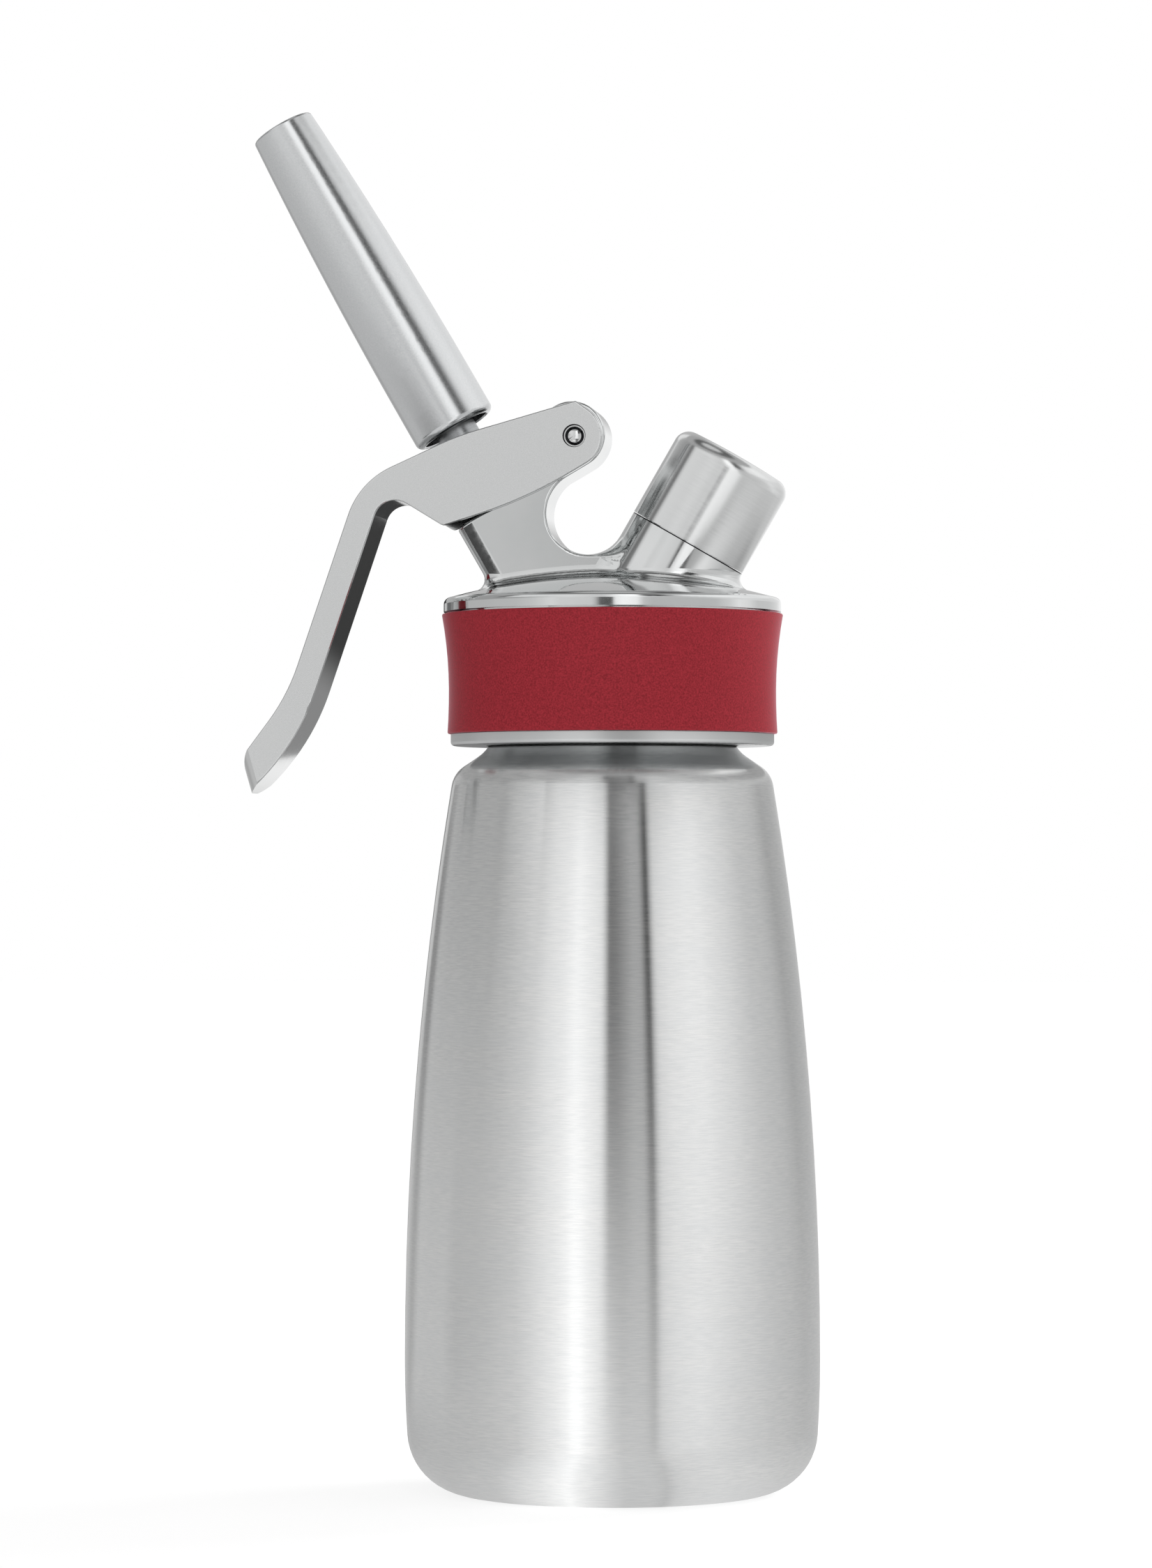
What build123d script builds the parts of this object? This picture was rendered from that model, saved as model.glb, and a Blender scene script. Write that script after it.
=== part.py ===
from build123d import *
import os
from math import cos, radians, sin, sqrt, tan

# Whipped cream dispenser, half-litre class, in millimetres.
# +Z is up the bottle and the origin is the centre of its base. The charger side is at +X,
# so the nozzle and the lever's handle are at -X. The pivot pin lies along Y.

# ---- Bottle ----
BOTTLE_RADIUS = 43.7
WIDEST_HEIGHT = 28.0
SIDE_ARC_RADIUS = 750.0
FOOT_RADIUS = 30.0
FOOT_CURVE_RADIUS = 13.2
FOOT_LEAN = 4.0
SHOULDER_HEIGHT = 151.4
SHOULDER_CORNER_RADIUS = 6.0
SHOULDER_SLOPE = 34.0
NECK_SWEEP_RADIUS = 8.0
NECK_RADIUS = 24.8
NECK_BORE_RADIUS = 22.4
MOUTH_HEIGHT = 182.0
BOTTLE_WALL = 1.0
BOTTLE_FLOOR = 1.5

# ---- Head casting ----
SKIRT_FOOT = 157.2
SKIRT_RIM_TOP = 159.6
SKIRT_RIM_RADIUS = 34.1
SKIRT_RADIUS = 32.0
SKIRT_BORE_RADIUS = 26.6
HEAD_CEILING = 185.1
FLANGE_BOTTOM = 185.4
FLANGE_TOP = 188.1
FLANGE_RADIUS = 35.6
FLANGE_EDGE = 1.4
DOME_RADIUS = 130.0
POST_HALF_WIDTH = 8.0
POST_HALF_LENGTH = 9.9
POST_CORNER_RADIUS = 3.8
POST_TOP = 47.5
BOSS_CENTRE = (-7.9, 222.4)
BOSS_RADIUS = 7.1
NOTCH_CENTRE = (-4.4, 206.0)
NOTCH_RADIUS = 8.8
THROAT_SLOPE = 30.5
CASTING_EDGE = 0.6
STUB_BLEND = 8.0
DOME_BLEND = 2.5

# ---- Grip sleeve ----
SLEEVE_TOP = 185.0
SLEEVE_TOP_RADIUS = 36.0
SLEEVE_WAIST_RADIUS = 34.5
SLEEVE_WAIST_HEIGHT = 168.5
SLEEVE_FOOT = 159.75
SLEEVE_FOOT_RADIUS = 34.8

# ---- Leaning axes: the valve stem leans to -X and the charger inlet to +X ----
LEAN = 30.0
STEM_CROSSING = 166.6
INLET_CROSSING = 172.3
STUB_RADIUS = 13.1
STUB_TOP = 32.0

# ---- Valve, with heights measured along the stem's axis ----
STEM_RADIUS = 4.35
SHANK_RADIUS = 3.2
STEM_HEAD_RADIUS = 6.6
STEM_HEAD_BOTTOM = 6.4
STEM_HEAD_TOP = 8.9
SEAT_HEIGHT = 12.0
VALVE_HOUSING_RADIUS = 7.6
CREAM_PASSAGE_RADIUS = 5.2
GLAND_BOTTOM = 30.0
O_RING_SEAT = 33.0
O_RING_POCKET_RADIUS = 5.9
BUSH_SEAT = 36.0
SPRING_SEAT = 39.0
SPRING_POCKET_RADIUS = 6.2
SPRING_MEAN_RADIUS = 5.4
SPRING_WIRE_RADIUS = 0.45
SPRING_TURNS = 6.0
SPRING_TOP = 53.3
NUT_RADIUS = 6.7
NUT_HALF_ACROSS_FLATS = 6.0
NUT_HEIGHT = 2.4
PRESS_NUT_TOP = 58.3
STEM_BORE_RADIUS = 2.2
CROSS_HOLE_HEIGHT = 24.0
STEM_THREAD_FOOT = 74.0
STEM_END = 84.0
RUNNING_GAP = 0.05

# ---- Decorating nozzle ----
NOZZLE_FOOT = 66.4
NOZZLE_LENGTH = 74.6
NOZZLE_RADIUS = 9.05
NOZZLE_TAPER_START = 72.0
NOZZLE_SIDE_ARC_RADIUS = 1060.0
NOZZLE_FOOT_EDGE = 1.4
NOZZLE_SKIRT_BORE = 7.3
NOZZLE_THREAD_BORE = 4.65
NOZZLE_OUTLET_RADIUS = 5.4
NOZZLE_OUTLET_LENGTH = 30.0
NOZZLE_SEAL_TOP = 86.1

# ---- Lever ----
PIVOT = (-7.1, 222.1)
LEVER_HALF_WIDTH = 9.9
CHEEK_THICKNESS = 1.6
LEVER_EDGE = 0.4
BRIDGE_BOTTOM = 59.5
THRUST_RIB_RADIUS = 6.0
THRUST_RIB_DROP = 1.0
FORK_ROOT = -13.5
BRIDGE_END = 9.0
STEM_SLOT_RADIUS = 4.8
HANDLE_END_CROWN = 18.0
PIN_RADIUS = 1.95
PIN_HALF_LENGTH = 9.6
PIN_DOME_RISE = 0.75
PIN_RECESS_RADIUS = 2.4
PIN_RECESS_DEPTH = 1.1

# Side outline of the lever: (x, z, corner radius), from the top of the pivot end round the handle.
LEVER_OUTLINE = [
    (-6.8, 229.45, 0.6),
    (-31.5, 222.4, 60.0),
    (-52.6, 212.8, 17.0),
    (-67.9, 167.8, 42.0),
    (-78.5, 153.6, 7.0),
    (-76.6, 147.0, 0.4),
    (-65.9, 156.6, 50.0),
    (-47.45, 211.1, 4.5),
    (-34.9, 203.4, 1.2),
    (-17.3, 208.7, 100.0),
    (-1.3, 218.2, 6.6),
    (-1.3, 225.5, 6.6),
]

# ---- Charger inlet and cap, with heights measured along the inlet's axis ----
SPIGOT_RADIUS = 10.2
SPIGOT_TOP = 45.0
SOCKET_RADIUS = 5.2
SOCKET_FLOOR = 33.0
SOCKET_MOUTH_RADIUS = 8.2
INLET_BORE_RADIUS = 4.85
INLET_BORE_FLOOR = 20.0
GAS_CHANNEL_RADIUS = 1.6
CAP_RADIUS = 13.15
CAP_FOOT = 32.15
CAP_TOP = 53.1
CAP_EDGE = 3.2
CAP_DOME_RADIUS = 170.0
CAP_CAVITY_RADIUS = 11.7
CAP_CEILING = 47.6
CAP_SEAL_RADIUS = 9.5

# ---- Screw threads ----
NECK_PITCH = 4.0
NECK_RIDGE = 1.4
NECK_THREAD_FOOT = 172.2
CAP_PITCH = 2.0
CAP_RIDGE = 0.9
CAP_THREAD_FOOT = 34.5
NOZZLE_PITCH = 1.5
NOZZLE_RIDGE = 0.55
NOZZLE_THREAD_FOOT = 74.6
RIDGE_ROOT_SHARE = 0.27
RIDGE_TIP_SHARE = 0.12
RIDGE_SINK = 0.3

STEM_AXIS = Location((0, 0, STEM_CROSSING), (0, -LEAN, 0))
INLET_AXIS = Location((0, 0, INLET_CROSSING), (0, LEAN, 0))


def on_stem(across, along):
    """The (x, z) of a point beside the stem: across the axis towards +X, and along it upwards."""
    tilt = radians(LEAN)
    x = across * cos(tilt) - along * sin(tilt)
    z = STEM_CROSSING + across * sin(tilt) + along * cos(tilt)
    return (x, z)


def rod(radius, bottom, top):
    return Pos(0, 0, (bottom + top) / 2) * Cylinder(radius, top - bottom)


def block(x_span, y_half, z_span):
    centre = Pos(sum(x_span) / 2, 0, sum(z_span) / 2)
    return centre * Box(x_span[1] - x_span[0], 2 * y_half, z_span[1] - z_span[0])


def turned(corners):
    """A solid of revolution about Z from the (radius, height, corner radius) points of its section."""
    outline = FilletPolyline(
        *[(radius, height) for radius, height, _ in corners],
        radius=[corner for _, _, corner in corners],
        close=True,
    )
    return revolve(make_face(Plane.XZ * outline), Axis.Z)


def rounded(section, corner, radius):
    """A flat section in the XZ plane with the corner nearest to (x, z) rounded off."""
    x, z = corner
    return fillet(section.vertices().sort_by_distance((x, 0, z))[0], radius)


def ring(inner, outer, bottom, top, edge=0.0):
    return turned([(inner, bottom, edge), (outer, bottom, edge), (outer, top, edge), (inner, top, edge)])


def thread_ridge(wall, height, pitch, foot, turns, inward=False):
    """One helical ridge on a round wall, standing out of a shaft or, inward, into a bore."""
    side = -1 if inward else 1
    half_root = RIDGE_ROOT_SHARE * pitch
    half_tip = RIDGE_TIP_SHARE * pitch
    path = Pos(0, 0, foot + half_root) * Helix(pitch, turns * pitch, wall)
    section = Plane(origin=path @ 0, x_dir=(1, 0, 0), z_dir=path % 0)
    outline = Polyline(
        (-side * RIDGE_SINK, -half_root),
        (side * height, -half_tip),
        (side * height, half_tip),
        (-side * RIDGE_SINK, half_root),
        close=True,
    )
    return sweep(section * make_face(outline), path=path, is_frenet=True)


def bottle_section(inset, floor, neck, shoulder_height):
    """Half section of the bottle's outside, or of its hollow when it is set in by the wall."""
    belly = BOTTLE_RADIUS - inset
    curve = FOOT_CURVE_RADIUS - inset
    lean = radians(FOOT_LEAN)
    slope = radians(SHOULDER_SLOPE)
    foot = (FOOT_RADIUS, floor)
    foot_middle = (FOOT_RADIUS + curve * sin(radians(45)), FOOT_CURVE_RADIUS - curve * cos(radians(45)))
    foot_end = (FOOT_RADIUS + curve * cos(lean), FOOT_CURVE_RADIUS - curve * sin(lean))
    widest = (belly, WIDEST_HEIGHT)
    side_rise = shoulder_height - WIDEST_HEIGHT
    side_drop = SIDE_ARC_RADIUS - sqrt(SIDE_ARC_RADIUS**2 - side_rise**2)
    shoulder = (belly - side_drop, shoulder_height)
    sweep_radius = NECK_SWEEP_RADIUS + inset
    sweep_foot_radius = neck + sweep_radius * (1 - sin(slope))
    sweep_foot = (
        sweep_foot_radius,
        shoulder_height + (shoulder[0] - sweep_foot_radius) * tan(slope),
    )
    neck_foot = (neck, sweep_foot[1] + sweep_radius * cos(slope))
    outline = (
        Polyline((0, MOUTH_HEIGHT), (0, floor), foot)
        + ThreePointArc(foot, foot_middle, foot_end)
        + ThreePointArc(foot_end, (belly - 0.14, WIDEST_HEIGHT - 8.0), widest)
        + RadiusArc(widest, shoulder, -SIDE_ARC_RADIUS)
        + Line(shoulder, sweep_foot)
        + RadiusArc(sweep_foot, neck_foot, sweep_radius)
        + Polyline(neck_foot, (neck, MOUTH_HEIGHT), (0, MOUTH_HEIGHT))
    )
    return rounded(make_face(Plane.XZ * outline), shoulder, SHOULDER_CORNER_RADIUS - inset)


def bottle():
    """Spun steel bottle: full belly, long arched side, rounded shoulder and threaded neck."""
    outside = revolve(bottle_section(0.0, 0.0, NECK_RADIUS, SHOULDER_HEIGHT), Axis.Z)
    hollow = revolve(
        bottle_section(BOTTLE_WALL, BOTTLE_FLOOR, NECK_BORE_RADIUS, SHOULDER_HEIGHT - BOTTLE_WALL),
        Axis.Z,
    )
    ridge = thread_ridge(NECK_RADIUS, NECK_RIDGE, NECK_PITCH, NECK_THREAD_FOOT, 1.5)
    return outside - hollow + ridge


def head_shell():
    """The head's round part: threaded skirt with its foot rim, flange and low dome."""
    apex = FLANGE_TOP + DOME_RADIUS - sqrt(DOME_RADIUS**2 - FLANGE_RADIUS**2)
    rim_corner = (FLANGE_RADIUS, FLANGE_TOP)
    outline = Polyline(
        (0, apex),
        (0, HEAD_CEILING),
        (SKIRT_BORE_RADIUS, HEAD_CEILING),
        (SKIRT_BORE_RADIUS, SKIRT_FOOT),
        (SKIRT_RIM_RADIUS, SKIRT_FOOT),
        (SKIRT_RIM_RADIUS, SKIRT_RIM_TOP),
        (SKIRT_RADIUS, SKIRT_RIM_TOP),
        (SKIRT_RADIUS, FLANGE_BOTTOM),
        (FLANGE_RADIUS, FLANGE_BOTTOM),
        rim_corner,
    ) + RadiusArc(rim_corner, (0, apex), -DOME_RADIUS)
    half = rounded(make_face(Plane.XZ * outline), rim_corner, FLANGE_EDGE)
    half = rounded(half, (SKIRT_RIM_RADIUS, SKIRT_FOOT), 0.8)
    return revolve(half, Axis.Z)


def post():
    """The flat upright that leans with the valve stem, with the pivot boss above its finger notch."""
    tilt = radians(LEAN)
    slope = radians(THROAT_SLOPE)
    boss_x, boss_z = BOSS_CENTRE
    notch_x, notch_z = NOTCH_CENTRE
    boss_across = boss_x * cos(tilt) + (boss_z - STEM_CROSSING) * sin(tilt)
    boss_along = -boss_x * sin(tilt) + (boss_z - STEM_CROSSING) * cos(tilt)
    boss_left = on_stem(boss_across - BOSS_RADIUS, boss_along)
    boss_crest = (boss_x + BOSS_RADIUS * sin(radians(45)), boss_z + BOSS_RADIUS * cos(radians(45)))
    throat_top = (boss_x + BOSS_RADIUS * sin(slope), boss_z - BOSS_RADIUS * cos(slope))
    throat_foot = (notch_x - NOTCH_RADIUS * sin(slope), notch_z + NOTCH_RADIUS * cos(slope))
    notch_side = (notch_x - NOTCH_RADIUS * cos(tilt), notch_z - NOTCH_RADIUS * sin(tilt))
    notch_floor = (notch_x, notch_z - NOTCH_RADIUS)
    inside_stub = 12.0
    root = HEAD_CEILING + 1.0
    left_foot_along = (root - STEM_CROSSING + POST_HALF_LENGTH * sin(tilt)) / cos(tilt)
    outline = (
        Polyline(
            notch_floor,
            (inside_stub, notch_floor[1]),
            (inside_stub, root),
            on_stem(-POST_HALF_LENGTH, left_foot_along),
            on_stem(-POST_HALF_LENGTH, POST_TOP),
            on_stem(boss_across - BOSS_RADIUS, POST_TOP),
            boss_left,
        )
        + ThreePointArc(boss_left, boss_crest, throat_top)
        + Line(throat_top, throat_foot)
        + ThreePointArc(throat_foot, notch_side, notch_floor)
    )
    body = extrude(make_face(Plane.XZ * outline), POST_HALF_WIDTH, both=True)

    def runs_with_stem(edge):
        return abs(abs((edge % 0.5).dot(Vector(-sin(tilt), 0, cos(tilt)))) - 1) < 0.001

    def on_side_face(edge):
        flat = edge.bounding_box().size.Y < 0.01
        return flat and abs(abs(edge.center().Y) - POST_HALF_WIDTH) < 0.01

    end_middle = on_stem(-POST_HALF_LENGTH, (left_foot_along + POST_TOP) / 2)[0]
    side_edges = body.edges().filter_by(on_side_face).filter_by(runs_with_stem)
    end_edges = [edge for edge in side_edges if abs(edge.center().X - end_middle) < 1]
    body = fillet(end_edges, POST_CORNER_RADIUS)
    end_side = end_middle + POST_CORNER_RADIUS
    rim_edges = [
        edge
        for edge in body.edges().filter_by(on_side_face)
        if edge.center().Z > notch_floor[1] - 1.0
        and not (runs_with_stem(edge) and edge.center().X < end_side)
    ]
    return fillet(rim_edges, CASTING_EDGE)


def head_body():
    """Polished casting: threaded skirt, domed flange, leaning post with pivot boss, and inlet stub."""
    stub = INLET_AXIS * rod(STUB_RADIUS, INLET_BORE_FLOOR - 6.0, STUB_TOP)
    under = block((-60, 60), 60, (100, HEAD_CEILING + 1.0))
    body = head_shell() + (post() - under) + (stub - under)

    tilt = radians(LEAN)

    def meets_stub(edge):
        along = Vector(sin(tilt), 0, cos(tilt))
        straight = edge.geom_type == GeomType.LINE
        beside_post = abs(abs(edge.center().Y) - POST_HALF_WIDTH) < 0.05
        return straight and beside_post and abs(abs((edge % 0.5).dot(along)) - 1) < 0.001

    stub_lines = [edge for edge in body.edges() if meets_stub(edge) and edge.center().X < STUB_RADIUS - 5]
    body = fillet(stub_lines, STUB_BLEND)

    def lies_on_dome(edge):
        box = edge.bounding_box()
        return box.min.Z > FLANGE_TOP + 0.3 and box.max.Z < FLANGE_TOP + 6.0 and box.size.Z < 4.0

    body = fillet(body.edges().filter_by(lies_on_dome), DOME_BLEND)

    spigot = INLET_AXIS * (
        rod(SPIGOT_RADIUS, STUB_TOP - 1.0, SPIGOT_TOP)
        + thread_ridge(SPIGOT_RADIUS, CAP_RIDGE, CAP_PITCH, CAP_THREAD_FOOT, 4.0)
    )
    valve_housing = STEM_AXIS * rod(VALVE_HOUSING_RADIUS, SEAT_HEIGHT, GLAND_BOTTOM - 5.0)
    skirt_ridge = thread_ridge(
        SKIRT_BORE_RADIUS, NECK_RIDGE, NECK_PITCH, NECK_THREAD_FOOT - 1.5 * NECK_PITCH, 2.2, inward=True
    )
    body = body + spigot + valve_housing + skirt_ridge

    valve_bore = STEM_AXIS * (
        rod(CREAM_PASSAGE_RADIUS, SEAT_HEIGHT - 1.0, GLAND_BOTTOM)
        + rod(STEM_RADIUS + RUNNING_GAP, GLAND_BOTTOM - 1.0, O_RING_SEAT + 1.0)
        + rod(O_RING_POCKET_RADIUS, O_RING_SEAT, BUSH_SEAT + 1.0)
        + rod(SPRING_POCKET_RADIUS, BUSH_SEAT, POST_TOP + 1.0)
    )
    socket = turned(
        [
            (0, SOCKET_FLOOR, 0),
            (SOCKET_RADIUS, SOCKET_FLOOR, 0),
            (SOCKET_RADIUS, SPIGOT_TOP - SOCKET_MOUTH_RADIUS + SOCKET_RADIUS, 0),
            (SOCKET_MOUTH_RADIUS, SPIGOT_TOP, 0),
            (SOCKET_MOUTH_RADIUS, SPIGOT_TOP + 1.0, 0),
            (0, SPIGOT_TOP + 1.0, 0),
        ]
    )
    inlet_bore = INLET_AXIS * (
        socket
        + rod(INLET_BORE_RADIUS, INLET_BORE_FLOOR, SOCKET_FLOOR + 1.0)
        + rod(GAS_CHANNEL_RADIUS, INLET_BORE_FLOOR - 10.0, INLET_BORE_FLOOR + 1.0)
    )
    pivot_x, pivot_z = PIVOT
    press_bore = PIN_RADIUS + 0.01
    pin_bore = Pos(pivot_x, 0, pivot_z) * Rot(90, 0, 0) * Cylinder(press_bore, 4 * POST_HALF_WIDTH)
    return body - valve_bore - inlet_bore - pin_bore


def grip_sleeve():
    """Soft silicone band with a gentle waist, stretched over the skirt between its two rims."""
    inner = SKIRT_RADIUS + RUNNING_GAP
    top_rise = SLEEVE_TOP - SLEEVE_WAIST_HEIGHT
    foot_drop = SLEEVE_WAIST_HEIGHT - SLEEVE_FOOT
    upper_arc = top_rise**2 / (2 * (SLEEVE_TOP_RADIUS - SLEEVE_WAIST_RADIUS))
    lower_arc = foot_drop**2 / (2 * (SLEEVE_FOOT_RADIUS - SLEEVE_WAIST_RADIUS))
    top = (SLEEVE_TOP_RADIUS, SLEEVE_TOP)
    waist = (SLEEVE_WAIST_RADIUS, SLEEVE_WAIST_HEIGHT)
    foot = (SLEEVE_FOOT_RADIUS, SLEEVE_FOOT)
    outline = (
        RadiusArc(foot, waist, lower_arc)
        + RadiusArc(waist, top, upper_arc)
        + Polyline(top, (inner, SLEEVE_TOP), (inner, SLEEVE_FOOT), foot)
    )
    return revolve(make_face(Plane.XZ * outline), Axis.Z)


def head_gasket():
    """Flat silicone ring between the bottle's mouth and the head's ceiling."""
    return ring(NECK_BORE_RADIUS - 0.6, NECK_RADIUS + 0.3, MOUTH_HEIGHT + 0.1, HEAD_CEILING - 0.1, 0.4)


def lever():
    """Cast squeeze lever: two cheeks on the pivot, a bridge that bears on the nut, and the handle."""
    outline = FilletPolyline(
        *[(x, z) for x, z, _ in LEVER_OUTLINE],
        radius=[corner for _, _, corner in LEVER_OUTLINE],
        close=True,
    )
    body = extrude(make_face(Plane.XZ * outline), LEVER_HALF_WIDTH, both=True)
    side_edges = [edge for edge in body.edges() if edge.bounding_box().size.Y < 0.01]
    body = fillet(side_edges, LEVER_EDGE)

    tip_x, tip_z = LEVER_OUTLINE[5][:2]
    end_x, end_z = LEVER_OUTLINE[4][:2]
    end_tilt = Plane(origin=(tip_x, 0, tip_z), z_dir=(end_x - tip_x, 0, end_z - tip_z), x_dir=(0, 1, 0))
    crown = end_tilt * Pos(0, -HANDLE_END_CROWN, 0) * Cylinder(HANDLE_END_CROWN, 60)
    end_block = block((end_x - 10, end_x + 15), 2 * LEVER_HALF_WIDTH, (tip_z - 5, end_z + 8))
    body = body - (end_block - crown)

    inner = LEVER_HALF_WIDTH - CHEEK_THICKNESS
    far_right = 60.0
    rib_centre = BRIDGE_BOTTOM - THRUST_RIB_DROP + THRUST_RIB_RADIUS
    thrust_rib = Pos(0, 0, rib_centre) * Rot(90, 0, 0) * Cylinder(THRUST_RIB_RADIUS, 4 * inner)
    fork_gap = block((FORK_ROOT, far_right), inner, (GLAND_BOTTOM, BRIDGE_BOTTOM)) - thrust_rib
    boss_gap = block((BRIDGE_END, far_right), inner, (GLAND_BOTTOM, NOZZLE_FOOT + 10))
    stem_slot = block((0, far_right), STEM_SLOT_RADIUS, (GLAND_BOTTOM, NOZZLE_FOOT + 10))
    slot_end = rod(STEM_SLOT_RADIUS, GLAND_BOTTOM, NOZZLE_FOOT + 10)
    body = body - STEM_AXIS * (fork_gap + boss_gap + stem_slot + slot_end)

    pivot_x, pivot_z = PIVOT
    pivot = Pos(pivot_x, 0, pivot_z) * Rot(90, 0, 0)
    body = body - pivot * Cylinder(PIN_RADIUS + RUNNING_GAP, 4 * LEVER_HALF_WIDTH)
    for side in (-1, 1):
        recess = Pos(0, 0, side * (LEVER_HALF_WIDTH - PIN_RECESS_DEPTH / 2))
        body = body - pivot * recess * Cylinder(PIN_RECESS_RADIUS, PIN_RECESS_DEPTH)
    return body


def pivot_pin():
    """Hardened pin pressed through the boss, with domed ends sunk in the cheeks."""
    dome_radius = (PIN_RADIUS**2 + PIN_DOME_RISE**2) / (2 * PIN_DOME_RISE)
    dome_foot = PIN_HALF_LENGTH - PIN_DOME_RISE
    outline = (
        RadiusArc((0, -PIN_HALF_LENGTH), (PIN_RADIUS, -dome_foot), -dome_radius)
        + Line((PIN_RADIUS, -dome_foot), (PIN_RADIUS, dome_foot))
        + RadiusArc((PIN_RADIUS, dome_foot), (0, PIN_HALF_LENGTH), -dome_radius)
        + Line((0, PIN_HALF_LENGTH), (0, -PIN_HALF_LENGTH))
    )
    pin = revolve(make_face(Plane.XZ * outline), Axis.Z)
    return Pos(PIVOT[0], 0, PIVOT[1]) * Rot(90, 0, 0) * pin


def valve_stem():
    """Hollow stem: valve head below the seat, cream holes above it, threaded end for the nozzle."""
    thread_root = NOZZLE_THREAD_BORE - NOZZLE_RIDGE - 0.35
    body = turned(
        [
            (0, STEM_HEAD_BOTTOM, 0),
            (STEM_HEAD_RADIUS, STEM_HEAD_BOTTOM, 0.5),
            (STEM_HEAD_RADIUS, STEM_HEAD_TOP, 0.3),
            (SHANK_RADIUS, STEM_HEAD_TOP, 0),
            (SHANK_RADIUS, GLAND_BOTTOM - 1.5, 0),
            (STEM_RADIUS, GLAND_BOTTOM - 0.5, 0),
            (STEM_RADIUS, STEM_THREAD_FOOT - 0.5, 0),
            (thread_root, STEM_THREAD_FOOT, 0),
            (thread_root, STEM_END, 0),
            (0, STEM_END, 0),
        ]
    )
    body = body + thread_ridge(thread_root, NOZZLE_RIDGE, NOZZLE_PITCH, NOZZLE_THREAD_FOOT, 5.4)
    body = body - rod(STEM_BORE_RADIUS, CROSS_HOLE_HEIGHT - 2.0, STEM_END + 1.0)
    for turn in (0, 90):
        body = body - Pos(0, 0, CROSS_HOLE_HEIGHT) * Rot(0, 0, turn) * Rot(90, 0, 0) * Cylinder(1.7, 10)
    return STEM_AXIS * body


def stem_seat_seal():
    """Rubber washer on the valve head that closes the cream passage."""
    return STEM_AXIS * ring(
        SHANK_RADIUS + RUNNING_GAP, STEM_HEAD_RADIUS, STEM_HEAD_TOP + 0.05, SEAT_HEIGHT - 0.05, 0.3
    )


def stem_o_ring():
    """O-ring that seals the sliding stem in the head."""
    section = (O_RING_POCKET_RADIUS - STEM_RADIUS) / 2 - RUNNING_GAP
    middle = (O_RING_POCKET_RADIUS + STEM_RADIUS) / 2
    return STEM_AXIS * Pos(0, 0, O_RING_SEAT + section + 0.1) * Torus(middle, section)


def gland_bush():
    """Screwed-in bush that holds the O-ring down, guides the stem and seats the spring."""
    return STEM_AXIS * turned(
        [
            (STEM_RADIUS + RUNNING_GAP, BUSH_SEAT - 0.9, 0),
            (O_RING_POCKET_RADIUS - RUNNING_GAP, BUSH_SEAT - 0.9, 0.2),
            (O_RING_POCKET_RADIUS - RUNNING_GAP, BUSH_SEAT + 0.02, 0),
            (SPRING_POCKET_RADIUS - RUNNING_GAP, BUSH_SEAT + 0.02, 0),
            (SPRING_POCKET_RADIUS - RUNNING_GAP, SPRING_SEAT, 0.2),
            (STEM_RADIUS + RUNNING_GAP, SPRING_SEAT, 0),
        ]
    )


def return_spring():
    """Compression spring round the stem that lifts the stem, and with it the lever."""
    rise = SPRING_TOP - SPRING_SEAT - 2 * SPRING_WIRE_RADIUS - 0.2
    path = Helix(rise / SPRING_TURNS, rise, SPRING_MEAN_RADIUS)
    wire = Plane(origin=path @ 0, z_dir=path % 0) * Circle(SPRING_WIRE_RADIUS)
    coil = sweep(wire, path=path, is_frenet=True)
    return STEM_AXIS * Pos(0, 0, SPRING_SEAT + SPRING_WIRE_RADIUS + 0.1) * coil


def stem_nut(top):
    """Thin round nut on the stem with two flats for a spanner."""
    nut = ring(STEM_RADIUS + RUNNING_GAP, NUT_RADIUS, top - NUT_HEIGHT, top, 0.3)
    flats = block((-20, 20), NUT_HALF_ACROSS_FLATS, (top - 2 * NUT_HEIGHT, top + NUT_HEIGHT))
    return STEM_AXIS * (nut & flats)


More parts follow.
